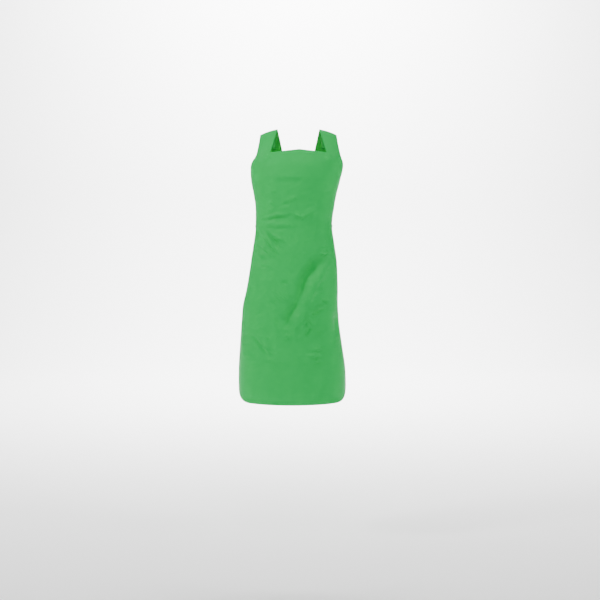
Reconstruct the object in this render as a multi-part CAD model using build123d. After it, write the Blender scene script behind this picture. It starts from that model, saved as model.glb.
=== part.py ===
from build123d import *
import math
import os
from collections import namedtuple

import numpy as np

# A front-protection lead apron for dental work, in the shape it takes when worn.
#
# One cut of layered cloth covers the wearer from the chest to the knees, and its two broad straps
# pass over the shoulders.  A coated cover and a lining form a pouch round two shielding sheets.
# Behind, each strap ends at a steel ring.  A webbing strap runs from each ring across the back to
# the opposite side of the waist, and closes there with hook and loop.
#
# Frame: millimetres, +Z up, the wearer faces -Y and the wearer's left is +X.
# Origin: midway between the two shoulders, where the straps rest on them.

# ---- cloth layers, measured outwards from the wearer's side ----
LINING = 0.5
SHIELD = 0.55
COVER = 0.5
PLY_GAP = 0.3
SHIELD_INNER_FROM = LINING + PLY_GAP
SHIELD_OUTER_FROM = SHIELD_INNER_FROM + SHIELD + PLY_GAP
COVER_FROM = SHIELD_OUTER_FROM + SHIELD + PLY_GAP
PANEL = COVER_FROM + COVER
TURNED_EDGE = 10.0
SHIELD_MARGIN = 11.0
SEWN_GAP = 0.5

# ---- outline of the cut ----
SIDE_REACH = 280.0
HEM_CORNER = 88.0
NECK_HALF_BOTTOM = 107.0
NECK_HALF_TOP = 81.0
NECK_CORNER_Z = -91.0
NECK_PEAK = (4.0, -79.0)
NECK_CORNER_RADIUS = 7.0
TONGUE_OUTLINE = [(66, -66), (150, 0), (148, -50), (130, -108)]
TONGUE_HALF = 23.0
SHOULDER_Y = -8.0
ABOVE = 60.0

# ---- back straps: path on the wearer's back, as distance from the middle and height ----
PATH_START = (74.4, -128.8)
PATH_RUN = (-0.68, -0.733)
WEB_WIDTH = 40.0
WEB = 1.6
BAR_AT = 5.0
RING_PITCH = 16.0
RING_WIRE = 3.5
RING_CORNER = 3.0
RING_SIDE_PLAY = 1.75
BAR_PLAY = 0.3
LOOP_LAP = 34.0
RETURN_LAP = 35.0
FOLD_AT = 265.0
FOLD_GAP = 0.6
UNDER_LIFT = [(21, 5.0), (60, 4.5), (160, 4.5), (250, 7.1), (400, 7.1)]
OVER_LIFT = [(21, 5.0), (80, 8.6), (109, 9.2), (140, 8.6), (250, 7.1), (400, 7.1)]

# ---- closures ----
TAB_LENGTH = 84.0
GRIP_LENGTH = 14.0
GRIP_WALL = 0.7
HOOK = 1.2
HOOK_FROM = 38.0
HOOK_TO = 68.0
LOOP = 1.2
LOOP_FROM = (124.0, -318.0)
LOOP_TO = (184.0, -418.0)

# ---- pieces on the wearer's side ----
PAD_THICK = 4.0
PAD_FROM = 91.0
PAD_TO = 143.0
PAD_END_Z = -70.0
HANG_Z = -104.0
HANG_HALF = 38.0
HANG_FOOT = 13.0
HANG_RISE = 18.0
HANG_WIDE = 14.0
HANG_TAPE = 1.2
LABEL_AT = (200.0, -470.0)
LABEL_WIDE = 38.0
LABEL_TALL = 58.0
LABEL_THICK = 0.4

# ---- the worn shape ----
# Each row is a half-ellipse across the body.  Its middle point is (x, y, z).  The ends fall away
# from the middle by the bulge, in the direction lean: 0 is backwards, -90 down and -180 forwards.
# reach is how far the cloth goes each side of the middle, measured along the row.
Row = namedtuple("Row", "x y z half bulge lean reach")

FRONT_ROWS = [
    Row(-24, -128, -1052, 210, 158, 0, SIDE_REACH),
    Row(-25, -128, -946, 208, 153, 0, SIDE_REACH),
    Row(-29, -127, -840, 198, 145, 0, SIDE_REACH),
    Row(-32, -126, -745, 188, 137, 0, SIDE_REACH),
    Row(-32, -124, -692, 184, 130, 0, SIDE_REACH),
    Row(-24, -120, -612, 175, 120, 0, SIDE_REACH),
    Row(-18, -111, -505, 164, 108, 0, SIDE_REACH),
    Row(-17, -105, -433, 153, 102, 0, SIDE_REACH),
    Row(-18, -102, -365, 145, 99, 0, SIDE_REACH),
    Row(-14, -108, -289, 151, 103, 0, 278),
    Row(-13, -113, -243, 159, 108, 0, 267),
    Row(-11, -117, -195, 169, 112, 0, 245),
    Row(-6, -113, -144, 177, 108, 0, 213),
    Row(0, -95, -95, 185, 95, 0, 168),
]
SHOULDER_ROWS = [
    Row(0, -60, -30, 185, 84, -42, 156),
    Row(0, -8, 8, 185, 77, -90, 150),
    Row(0, 48, -20, 185, 82, -138, 151),
]


def behind(row):
    """The row on the back of the body at the same height."""
    return row._replace(y=row.y + 2 * row.bulge, lean=-180, reach=160)


BACK_ROWS = [behind(row) for row in reversed(FRONT_ROWS[6:])]
ROWS = FRONT_ROWS + SHOULDER_ROWS + BACK_ROWS
SHOULDER_TOP = len(FRONT_ROWS) + 1
FIRST_BACK = len(FRONT_ROWS) + len(SHOULDER_ROWS)

TABLE = np.array(ROWS, float)
STEPS = np.linalg.norm(np.diff(TABLE[:, 1:3], axis=0), axis=1)
ALONG = np.concatenate([[0.0], np.cumsum(STEPS)])


def row_slopes():
    """Slopes of a curve through the rows that never overshoots them."""
    rise = np.diff(TABLE, axis=0) / STEPS[:, None]
    slopes = np.zeros_like(TABLE)
    slopes[0], slopes[-1] = rise[0], rise[-1]
    before, after = STEPS[:-1, None], STEPS[1:, None]
    same_way = rise[:-1] * rise[1:] > 0
    safe_low = np.where(same_way, rise[:-1], 1.0)
    safe_high = np.where(same_way, rise[1:], 1.0)
    weight_low, weight_high = 2 * after + before, after + 2 * before
    middle = (weight_low + weight_high) / (weight_low / safe_low + weight_high / safe_high)
    slopes[1:-1] = np.where(same_way, middle, 0.0)
    return slopes


SLOPES = row_slopes()
ARC_STEPS = 160
PROBE = 0.5


def row_at(v):
    """The rows' values at distances v along the middle of the cloth, counted from the hem."""
    i = np.clip(np.searchsorted(ALONG, v) - 1, 0, len(STEPS) - 1)
    h = STEPS[i][:, None]
    t = (v[:, None] - ALONG[i][:, None]) / h
    return (
        TABLE[i] * (1 + 2 * t) * (1 - t) ** 2
        + TABLE[i + 1] * t * t * (3 - 2 * t)
        + SLOPES[i] * h * t * (1 - t) ** 2
        - SLOPES[i + 1] * h * t * t * (1 - t)
    )


def surface(v, s):
    """The points of the worn shape at v up the cloth and s across it from the middle."""
    x, y, z, half, bulge, lean, _ = row_at(v).T
    turn = np.linspace(0, math.pi, ARC_STEPS)
    pace = np.hypot(half[:, None] * np.cos(turn), bulge[:, None] * np.sin(turn))
    arc = np.cumsum((pace[:, 1:] + pace[:, :-1]) / 2 * turn[1], axis=1)
    arc = np.hstack([np.zeros((len(v), 1)), arc])
    angle = np.array([np.interp(abs(a), row, turn) for a, row in zip(s, arc)]) * np.sign(s)
    fall = bulge * (1 - np.cos(angle))
    way = np.radians(lean)
    return np.stack([x + half * np.sin(angle), y + fall * np.cos(way), z + fall * np.sin(way)], axis=1)


def form(v, s, d):
    """The same points moved d outwards, away from the wearer."""
    v, s, d = (a.ravel() for a in np.broadcast_arrays(*(np.asarray(a, float) for a in (v, s, d))))
    across = surface(v, s + PROBE) - surface(v, s - PROBE)
    up = surface(v + PROBE, s) - surface(v - PROBE, s)
    out = np.cross(across, up)
    return surface(v, s) + d[:, None] * out / np.linalg.norm(out, axis=1)[:, None]


def v_at(index):
    return float(ALONG[index])


HEIGHTS = row_at(np.linspace(0, ALONG[-1], 1200))[:, 2]
SPOTS = np.linspace(0, ALONG[-1], 1200)
TOP_SPOT = int(np.argmax(HEIGHTS))


def v_front(z):
    """How far up the front of the cloth height z lies."""
    return np.interp(z, HEIGHTS[: TOP_SPOT + 1], SPOTS[: TOP_SPOT + 1])


def v_back(z):
    """How far along the cloth height z lies on the wearer's back."""
    return np.interp(z, HEIGHTS[:TOP_SPOT:-1], SPOTS[:TOP_SPOT:-1])


# ---- building blocks ----
def slab(inner, outer, spots=None):
    """A thin solid between two grids of points; spots say where along a line each point comes."""
    if spots is None:
        spots = np.linspace(0, 1, len(inner[0]))
    skins = []
    for grid in (inner, outer):
        curves = [Edge.make_spline([Vector(*p) for p in line], parameters=list(spots)) for line in grid]
        lines = [Wire([curve]) for curve in curves]
        skins.append(Shell.make_loft(lines).faces()[0])
    low, high = skins
    sides = []
    for edge in low.edges():
        mate = min(high.edges(), key=lambda other: (other @ 0.5 - edge @ 0.5).length)
        sides.append(Face.make_surface_from_curves(edge, mate))
    return Solid(Shell([low, high, *sides]))


def patch(v_lines, s_lines, low, high, spots=None):
    """A curved sheet of the worn shape between two distances from the wearer."""
    grids = []
    for depth in (low, high):
        grids.append([form(v, s, depth) for v, s in zip(v_lines, s_lines)])
    return slab(*grids, spots)


def spaced(start, end, most):
    """Evenly spaced values from start to end, no further apart than most."""
    return np.linspace(start, end, max(2, int(math.ceil(abs(end - start) / most)) + 1))


def prism_y(face, y_from, y_to):
    """A face drawn as (x, z) on the front plane, made solid from y_from to y_to."""
    return extrude(Plane((0, y_from, 0), x_dir=(1, 0, 0), z_dir=(0, 1, 0)) * mirror(face, Plane.XZ),
                   amount=y_to - y_from)


def polygon(points):
    return make_face(Polyline(points, close=True))


def block(x, y, z):
    """A box between the given pairs of limits."""
    return Pos(sum(x) / 2, sum(y) / 2, sum(z) / 2) * Box(x[1] - x[0], y[1] - y[0], z[1] - z[0])


# ---- the panel: one outline shared by every layer ----
ROW_GAP = 60.0
COLUMNS = 17
PANEL_END = v_at(FIRST_BACK + 2)


def neck_hole(margin):
    """The opening for the neck, its edge moved out by margin."""
    right = [(NECK_HALF_TOP, ABOVE), (NECK_HALF_TOP, 0), (NECK_HALF_BOTTOM, NECK_CORNER_Z)]
    left = [(-x, z) for x, z in reversed(right)]
    hole = polygon(right + [NECK_PEAK] + left)
    corners = [p for p in hole.vertices() if abs(p.Y - NECK_CORNER_Z) < 1]
    hole = fillet(corners, NECK_CORNER_RADIUS)
    return prism_y(offset(hole, margin) if margin else hole, -300, SHOULDER_Y)


def tongue(side, margin):
    """One strap end on the back, its edges moved in by margin; it ends square across the strap's path."""
    near, far = (path_point(side, 0, b) for b in (-TONGUE_HALF, TONGUE_HALF))
    inner, top, edge, low = [(side * x, z) for x, z in TONGUE_OUTLINE]
    outline = [(side * NECK_HALF_TOP, ABOVE), (side * NECK_HALF_TOP, 0), inner]
    outline += [(near.X, near.Z), (far.X, far.Z), low, edge, top, (top[0], ABOVE)]
    face = polygon(outline)
    if margin:
        face = offset(face, -margin, kind=Kind.INTERSECTION)
    return prism_y(face, SHOULDER_Y - 1, 300)


def layer(low, high, margin):
    """One layer of the panel, its edges moved in by margin all round."""
    keys = [margin] + [v for v in ALONG if margin < v <= PANEL_END]
    v_values = [keys[0]]
    for start, end in zip(keys, keys[1:]):
        v_values += list(spaced(start, end, ROW_GAP))[1:]
    reach = row_at(np.array(v_values))[:, 6]
    spots = np.linspace(-1, 1, COLUMNS)
    s_lines = [r * spots for r in reach]
    for line, r in zip(s_lines, reach):
        line[0], line[-1] = margin - r, r - margin
    spots[0], spots[-1] = margin / SIDE_REACH - 1, 1 - margin / SIDE_REACH
    sheet = patch([np.full(COLUMNS, v) for v in v_values], s_lines, low, high, spots)
    back = block((-300, 300), (SHOULDER_Y, 300), (-150, ABOVE))
    back += block((-300, 300), (35, 300), (-206, -149))
    hem_y = surface(np.array([0.0]), np.array([SIDE_REACH]))[0][1]
    centre = (hem_y - HEM_CORNER, FRONT_ROWS[0].z + HEM_CORNER)
    corner = block((-300, 300), (centre[0], centre[0] + 200), (centre[1] - 200, centre[1]))
    corner -= Pos(0, *centre) * Rot(0, 90, 0) * Cylinder(HEM_CORNER - margin, 700)
    return sheet - [neck_hole(margin), back - tongue(1, margin) - tongue(-1, margin), corner]


# ---- webbing: bands made of straight sections across the strap's path ----
LANES = [-1, -0.5, 0, 0.5, 1]
PERP = (-PATH_RUN[1], PATH_RUN[0])


def path_point(side, a, b=0.0, lift=0.0):
    """A point of the back: a along the strap's path, b across it and lift off the body."""
    q = PATH_START[0] + a * PATH_RUN[0] + b * PERP[0]
    z = PATH_START[1] + a * PATH_RUN[1] + b * PERP[1]
    return Vector(*form([v_back(z)], [side * q], [lift])[0])


def path_axes(side, a, lift=0.0):
    """The directions along the path, across it and away from the body."""
    out = path_point(side, a, 0, lift + 1) - path_point(side, a, 0, lift)
    along = path_point(side, a + 1, 0, lift) - path_point(side, a - 1, 0, lift)
    across = out.cross(along).normalized()
    return along.normalized(), across, along.cross(across).normalized()


def laid(side, a, lift, outward=1):
    """A section that lies on the body's curve; outward -1 turns its outer side to the wearer."""
    centre = path_point(side, a, 0, lift)
    along, across, out = path_axes(side, a, lift)
    falls = []
    for lane in LANES:
        slip = 0.0
        for _ in range(3):
            edge = path_point(side, a + slip, -side * lane * WEB_WIDTH / 2, lift) - centre
            slip -= edge.dot(along)
        falls.append(outward * edge.dot(out))
    return centre, across, out * outward, falls


def band(sections, width=WEB_WIDTH, thick=WEB):
    """A band through sections of centre, across, out and how far each lane falls."""
    wires = []
    for centre, across, out, falls in sections:
        lanes = [(across * (lane * width / 2), out * fall) for lane, fall in zip(LANES, falls)]
        low = [centre + move + fall - out * (thick / 2) for move, fall in lanes]
        high = [centre + move + fall + out * (thick / 2) for move, fall in lanes]
        wires.append(Wire(Polyline(low + high[::-1], close=True).edges()))
    return Solid.make_loft(wires, ruled=True)


def turn_round(bar, axes, ahead):
    """Sections that lead a band round a bar, from its outer side to the wearer's side."""
    along, across, out = axes
    radius = RING_WIRE / 2 + BAR_PLAY + WEB / 2
    flat = [0] * len(LANES)
    sections = []
    for angle in range(0, 181, 15):
        way = out * math.cos(math.radians(angle)) + along * (ahead * math.sin(math.radians(angle)))
        sections.append((bar + way * radius, across, way, flat))
    return sections


def bars(side):
    """The ring's upper and lower bar centres and the directions that it lies in."""
    axes = path_axes(side, BAR_AT, PANEL / 2)
    upper = path_point(side, BAR_AT, 0, PANEL / 2)
    return upper, upper + axes[0] * RING_PITCH, axes


def strap_ring(side):
    upper, lower, (along, across, out) = bars(side)
    middle = (upper + lower) * 0.5
    wide = WEB_WIDTH + 2 * RING_SIDE_PLAY + RING_WIRE
    outline = RectangleRounded(wide, RING_PITCH, RING_CORNER).wire()
    path = Plane(middle, x_dir=across, z_dir=out) * outline
    start = Plane(path @ 0, z_dir=path % 0)
    return sweep(start * Circle(RING_WIRE / 2), path)


def ring_loop(side):
    """Webbing sewn to both faces of the strap end and folded through the ring."""
    upper, _, axes = bars(side)
    outer = PANEL + SEWN_GAP + WEB / 2
    inner = -2 * SEWN_GAP - WEB / 2
    steps = spaced(-LOOP_LAP, 0.5, 8)
    sections = [laid(side, a, outer) for a in steps]
    sections += turn_round(upper, axes, 1)
    sections += [laid(side, a, inner, -1) for a in reversed(steps)]
    return band(sections)


def lift_at(side, a):
    """The strap from the wearer's left shoulder crosses over the other one."""
    table = OVER_LIFT if side > 0 else UNDER_LIFT
    return float(np.interp(a, *zip(*table)))


def back_strap(side):
    """From the fold at the waist up to the ring, round its lower bar and back on itself."""
    _, lower, axes = bars(side)
    start = BAR_AT + RING_PITCH
    sections = [laid(side, a, lift_at(side, a)) for a in spaced(FOLD_AT, start + 4, 9)]
    sections += turn_round(lower, axes, -1)
    sections += [laid(side, a, -WEB, -1) for a in spaced(start + 6, start + RETURN_LAP, 8)]
    return band(sections)


def tab_sections(side, start, end, shift=0.0, step=8):
    return [laid(side, a, lift_at(side, a) + shift) for a in spaced(start, end, step)]


def strap_tab(side):
    return band(tab_sections(side, FOLD_AT + FOLD_GAP, FOLD_AT + TAB_LENGTH))


def hook_patch(side):
    shift = -(WEB + HOOK) / 2 - 0.05
    return band(tab_sections(side, FOLD_AT + HOOK_FROM, FOLD_AT + HOOK_TO, shift), WEB_WIDTH - 2, HOOK)


def tab_grip(side):
    """A moulded sleeve over the end of the tab."""
    end = FOLD_AT + TAB_LENGTH
    thick = WEB + 2 * GRIP_WALL
    sleeve = band(tab_sections(side, end - GRIP_LENGTH, end + 1.5), WEB_WIDTH + 3, thick)
    room = band(tab_sections(side, end - GRIP_LENGTH - 4, end + 0.1), WEB_WIDTH + 0.3, WEB + 0.16)
    return sleeve - room


def loop_patch(side):
    """The wide soft patch that the hooks of the opposite strap press on to."""
    q_values = spaced(LOOP_FROM[0], LOOP_TO[0], 12)
    z_values = spaced(LOOP_FROM[1], LOOP_TO[1], 20)
    low = PANEL + SEWN_GAP
    v_lines = [np.full(len(q_values), v_back(z)) for z in z_values]
    return patch(v_lines, [side * q_values] * len(z_values), low, low + LOOP)


# ---- pieces on the wearer's side ----
def shoulder_pad(side):
    v_values = spaced(v_front(PAD_END_Z), v_back(PAD_END_Z), 14)
    s_values = side * spaced(PAD_FROM, PAD_TO, 9)
    v_lines = [np.full(len(s_values), v) for v in v_values]
    return patch(v_lines, [s_values] * len(v_values), -SEWN_GAP - PAD_THICK, -SEWN_GAP)


def hanging_loop():
    """A tape across the inside of the bib, sewn at both ends and arched between them."""
    half_gap = HANG_HALF - HANG_FOOT
    s_values = spaced(-HANG_HALF, HANG_HALF, 4)
    rise = np.where(abs(s_values) < half_gap, 0.5 + 0.5 * np.cos(math.pi * s_values / half_gap), 0)
    middle = -SEWN_GAP - HANG_TAPE / 2 - HANG_RISE * rise
    grids = []
    for half in (-HANG_TAPE / 2, HANG_TAPE / 2):
        lines = []
        for edge in (-0.5, 0.5):
            lines.append(form(v_front(HANG_Z) + edge * HANG_WIDE, s_values, middle + half))
        grids.append(lines)
    return slab(*grids)


def care_label():
    s_values = spaced(LABEL_AT[0], LABEL_AT[0] + LABEL_WIDE, 10)
    z_values = spaced(LABEL_AT[1] - LABEL_TALL, LABEL_AT[1], 15)
    v_lines = [np.full(len(s_values), v_front(z)) for z in z_values]
    return patch(v_lines, [s_values] * len(z_values), -SEWN_GAP - LABEL_THICK, -SEWN_GAP)


# ---- the whole apron ----
def front_cover():
    """The coated outer layer, with its edge turned in round the shielding sheets."""
    pocket = layer(LINING / 2, COVER_FROM, TURNED_EDGE)
    return layer(LINING + PLY_GAP, PANEL, 0) - pocket


def make_parts():
    parts = {
        "front_cover": front_cover(),
        "inner_lining": layer(0, LINING, 0),
        "shield_sheet_inner": layer(SHIELD_INNER_FROM, SHIELD_INNER_FROM + SHIELD, SHIELD_MARGIN),
        "shield_sheet_outer": layer(SHIELD_OUTER_FROM, SHIELD_OUTER_FROM + SHIELD, SHIELD_MARGIN),
        "hanging_loop": hanging_loop(),
        "care_label": care_label(),
    }
    for name, side in (("left", 1), ("right", -1)):
        parts["shoulder_pad_" + name] = shoulder_pad(side)
        parts["loop_patch_" + name] = loop_patch(side)
        parts["ring_loop_" + name] = ring_loop(side)
        parts["strap_ring_" + name] = strap_ring(side)
        parts["back_strap_" + name] = back_strap(side)
        parts["strap_tab_" + name] = strap_tab(side)
        parts["hook_patch_" + name] = hook_patch(side)
        parts["tab_grip_" + name] = tab_grip(side)
    return parts


if __name__ == "__main__":
    os.makedirs("parts", exist_ok=True)
    for node, shape in make_parts().items():
        export_step(shape, f"parts/{node}.step")
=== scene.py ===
import math
from collections import namedtuple

import bpy
import numpy as np
from bpy.props import FloatProperty, FloatVectorProperty, PointerProperty
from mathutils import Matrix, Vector


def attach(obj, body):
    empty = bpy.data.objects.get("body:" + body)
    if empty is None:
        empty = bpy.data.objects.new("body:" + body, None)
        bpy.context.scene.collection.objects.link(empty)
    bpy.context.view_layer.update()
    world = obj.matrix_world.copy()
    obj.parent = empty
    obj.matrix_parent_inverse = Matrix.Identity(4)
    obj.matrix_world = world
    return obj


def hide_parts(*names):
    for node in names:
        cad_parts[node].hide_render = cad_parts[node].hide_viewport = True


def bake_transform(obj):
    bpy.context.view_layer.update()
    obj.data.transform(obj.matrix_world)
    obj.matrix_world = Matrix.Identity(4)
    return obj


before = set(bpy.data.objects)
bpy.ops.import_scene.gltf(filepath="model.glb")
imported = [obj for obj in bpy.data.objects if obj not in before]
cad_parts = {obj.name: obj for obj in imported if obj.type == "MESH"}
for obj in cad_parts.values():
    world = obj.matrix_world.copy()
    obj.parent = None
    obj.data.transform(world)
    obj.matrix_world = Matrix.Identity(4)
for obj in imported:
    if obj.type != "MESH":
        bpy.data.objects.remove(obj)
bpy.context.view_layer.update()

bl_info = {
    "name": "Lead Apron",
    "version": (1, 0, 0),
    "blender": (4, 5, 0),
    "location": "View3D > Sidebar > Apron",
    "description": "Builds the cloth, webbing and fittings of a front-protection lead apron",
    "category": "Object",
}

# ---- sizes of the cut and of the cloth layers, in metres, outwards from the wearer's side ----
LINING = 0.0005
SHIELD = 0.00055
COVER = 0.0005
PLY_GAP = 0.0003
PANEL = 0.003
SHIELD_INNER_FROM = LINING + PLY_GAP
SHIELD_OUTER_FROM = SHIELD_INNER_FROM + SHIELD + PLY_GAP
COVER_FROM = PANEL - COVER
TURNED_EDGE = 0.010
SHIELD_MARGIN = 0.011
SEWN_GAP = 0.0005
SIDE_REACH = 0.280
HEM_CORNER = 0.088
NECK_HALF_BOTTOM = 0.107
NECK_HALF_TOP = 0.081
NECK_CORNER_Z = -0.091
NECK_PEAK = (0.004, -0.079)
TONGUE_HALF = 0.023
TONGUE_INNER = [(-0.066, 0.066), (0.0, 0.081)]
TONGUE_OUTER = [(-0.108, 0.130), (-0.050, 0.148), (0.0, 0.150)]

# ---- webbing and closures ----
PATH_START = (0.0744, -0.1288)
PATH_RUN = (-0.68, -0.733)
PATH_ACROSS = (0.733, -0.68)
WEB_WIDTH = 0.040
WEB = 0.0016
BAR_AT = 0.005
RING_PITCH = 0.016
RING_WIRE = 0.0035
BAR_PLAY = 0.0003
LOOP_LAP = 0.034
RETURN_LAP = 0.035
FOLD_AT = 0.265
TAB_LENGTH = 0.084
HOOK = 0.0012
HOOK_FROM = 0.038
HOOK_TO = 0.068
LOOP = 0.0012
LOOP_FROM = (0.124, -0.318)
LOOP_TO = (0.184, -0.418)
UNDER_LIFT = [(0.021, 0.0050), (0.060, 0.0045), (0.160, 0.0045), (0.250, 0.0071), (0.400, 0.0071)]
OVER_LIFT = [(0.021, 0.0050), (0.080, 0.0086), (0.109, 0.0092), (0.140, 0.0086), (0.250, 0.0071),
             (0.400, 0.0071)]
SIDES = (("left", 1), ("right", -1))
SECTION_STEP = 0.004
STITCH_LIFT = 0.0001
THREAD_SIDES = 6

# ---- pieces on the wearer's side ----
PAD_THICK = 0.004
PAD_FROM = 0.091
PAD_TO = 0.143
PAD_END_Z = -0.070
PAD_CELL = 0.0028
PAD_THIN = 0.0016
PAD_DIMPLE = 0.0006
QUILT_PITCH = 0.042
QUILT_SEAM = 0.0035
SWELL_FRAMES = 20
HANG_Z = -0.104
HANG_HALF = 0.038
HANG_FOOT = 0.013
HANG_RISE = 0.018
HANG_WIDE = 0.014
HANG_TAPE = 0.0012
LABEL_AT = (0.200, -0.470)
LABEL_WIDE = 0.038
LABEL_TALL = 0.058
LABEL_THICK = 0.0004

# ---- the worn shape: half-ellipses across the body, as in the part ----
Row = namedtuple("Row", "x y z half bulge lean reach")
FRONT_ROWS = [
    Row(-0.024, -0.128, -1.052, 0.210, 0.158, 0, SIDE_REACH),
    Row(-0.025, -0.128, -0.946, 0.208, 0.153, 0, SIDE_REACH),
    Row(-0.029, -0.127, -0.840, 0.198, 0.145, 0, SIDE_REACH),
    Row(-0.032, -0.126, -0.745, 0.188, 0.137, 0, SIDE_REACH),
    Row(-0.032, -0.124, -0.692, 0.184, 0.130, 0, SIDE_REACH),
    Row(-0.024, -0.120, -0.612, 0.175, 0.120, 0, SIDE_REACH),
    Row(-0.018, -0.111, -0.505, 0.164, 0.108, 0, SIDE_REACH),
    Row(-0.017, -0.105, -0.433, 0.153, 0.102, 0, SIDE_REACH),
    Row(-0.018, -0.102, -0.365, 0.145, 0.099, 0, SIDE_REACH),
    Row(-0.014, -0.108, -0.289, 0.151, 0.103, 0, 0.278),
    Row(-0.013, -0.113, -0.243, 0.159, 0.108, 0, 0.267),
    Row(-0.011, -0.117, -0.195, 0.169, 0.112, 0, 0.245),
    Row(-0.006, -0.113, -0.144, 0.177, 0.108, 0, 0.213),
    Row(0.000, -0.095, -0.095, 0.185, 0.095, 0, 0.168),
]
SHOULDER_ROWS = [
    Row(0.0, -0.060, -0.030, 0.185, 0.084, -42, 0.156),
    Row(0.0, -0.008, 0.008, 0.185, 0.077, -90, 0.150),
    Row(0.0, 0.048, -0.020, 0.185, 0.082, -138, 0.151),
]


def behind(row):
    return row._replace(y=row.y + 2 * row.bulge, lean=-180, reach=0.160)


TABLE = np.array(FRONT_ROWS + SHOULDER_ROWS + [behind(r) for r in reversed(FRONT_ROWS[6:])], float)
STEPS = np.linalg.norm(np.diff(TABLE[:, 1:3], axis=0), axis=1)
ALONG = np.concatenate([[0.0], np.cumsum(STEPS)])
ARC_STEPS = 160
INNER_SHARE = 0.62
FOLD_GAIN = 1.9
# height, seed, count, shortest and longest of each set of waves
CRUMPLES = (
    (0.0026, 5, 14, 0.035, 0.11),
    (0.0026, 11, 6, 0.12, 0.26),
    (0.0016, 23, 16, 0.014, 0.034),
)


def row_slopes():
    """Slopes of a curve through the rows that never overshoots them."""
    rise = np.diff(TABLE, axis=0) / STEPS[:, None]
    slopes = np.zeros_like(TABLE)
    slopes[0], slopes[-1] = rise[0], rise[-1]
    before, after = STEPS[:-1, None], STEPS[1:, None]
    same_way = rise[:-1] * rise[1:] > 0
    low, high = np.where(same_way, rise[:-1], 1.0), np.where(same_way, rise[1:], 1.0)
    weight_low, weight_high = 2 * after + before, after + 2 * before
    middle = (weight_low + weight_high) / (weight_low / low + weight_high / high)
    slopes[1:-1] = np.where(same_way, middle, 0.0)
    return slopes


SLOPES = row_slopes()


def row_at(v):
    """The rows' values at distances v up the middle of the cloth."""
    i = np.clip(np.searchsorted(ALONG, v) - 1, 0, len(STEPS) - 1)
    h = STEPS[i][:, None]
    t = (v[:, None] - ALONG[i][:, None]) / h
    return (
        TABLE[i] * (1 + 2 * t) * (1 - t) ** 2
        + TABLE[i + 1] * t * t * (3 - 2 * t)
        + SLOPES[i] * h * t * (1 - t) ** 2
        - SLOPES[i + 1] * h * t * t * (1 - t)
    )


TURN = np.linspace(0, math.pi, ARC_STEPS)


def arcs(half, bulge):
    """Arc length along each half-ellipse at every angle of TURN."""
    pace = np.hypot(half[:, None] * np.cos(TURN), bulge[:, None] * np.sin(TURN))
    arc = np.cumsum((pace[:, 1:] + pace[:, :-1]) / 2 * TURN[1], axis=1)
    return np.hstack([np.zeros((len(half), 1)), arc])


def surface(v, s):
    """Points of the worn shape at v up the cloth and s across it."""
    v, s = np.broadcast_arrays(np.asarray(v, float), np.asarray(s, float))
    v, s = v.ravel(), s.ravel()
    x, y, z, half, bulge, lean, _ = row_at(v).T
    arc = arcs(half, bulge)
    place = np.sum(arc < abs(s)[:, None], axis=1).clip(1, ARC_STEPS - 1)
    here = np.arange(len(s))
    low, high = arc[here, place - 1], arc[here, place]
    share = ((abs(s) - low) / (high - low)).clip(0, 1)
    angle = (TURN[place - 1] + share * TURN[1]) * np.sign(s)
    fall = bulge * (1 - np.cos(angle))
    way = np.radians(lean)
    return np.stack([x + half * np.sin(angle), y + fall * np.cos(way), z + fall * np.sin(way)], axis=1)


def form(v, s, d):
    """The same points moved d away from the wearer."""
    v, s, d = (a.ravel() for a in np.broadcast_arrays(*(np.asarray(a, float) for a in (v, s, d))))
    probe = 0.0005
    across = surface(v, s + probe) - surface(v, s - probe)
    up = surface(v + probe, s) - surface(v - probe, s)
    out = np.cross(across, up)
    return surface(v, s) + d[:, None] * out / np.linalg.norm(out, axis=1)[:, None]


SPOTS = np.linspace(0, ALONG[-1], 1600)
HEIGHTS = row_at(SPOTS)[:, 2]
TOP_SPOT = int(np.argmax(HEIGHTS))
V_TOP = SPOTS[TOP_SPOT]


def v_front(z):
    return np.interp(z, HEIGHTS[: TOP_SPOT + 1], SPOTS[: TOP_SPOT + 1])


def v_back(z):
    return np.interp(z, HEIGHTS[:TOP_SPOT:-1], SPOTS[:TOP_SPOT:-1])


def s_of_x(v, x):
    """How far across the cloth the line v reaches the sideways place x, on the near half."""
    row = row_at(v)
    angle = np.arcsin(((x - row[:, 0]) / row[:, 3]).clip(-1, 1))
    arc = arcs(row[:, 3], row[:, 4])
    length = np.array([np.interp(abs(a), TURN, line) for a, line in zip(angle, arc)])
    return length * np.sign(angle)


def ease(t):
    t = np.clip(t, 0, 1)
    return t * t * (3 - 2 * t)


# ---- the panel as one net of four-sided cells that follows its edges ----
def reach_at(v, margin):
    """How far the cloth goes from the middle at v, with the round hem corners."""
    row = row_at(v)
    reach = row[:, 6] - margin
    hem_y = surface(0.0, SIDE_REACH)[0, 1]
    corner_y, corner_z, radius = hem_y - HEM_CORNER, TABLE[0, 2] + HEM_CORNER, HEM_CORNER - margin
    drop = (corner_z - row[:, 2]).clip(0, radius)
    y_end = corner_y + np.sqrt(radius**2 - drop**2)
    angle = np.arccos((1 - (y_end - row[:, 1]) / row[:, 4]).clip(-1, 1))
    arc = arcs(row[:, 3], row[:, 4])
    rounded = np.array([np.interp(a, TURN, line) for a, line in zip(angle, arc)])
    return np.where(row[:, 2] < corner_z, np.minimum(rounded, reach), reach)


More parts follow.
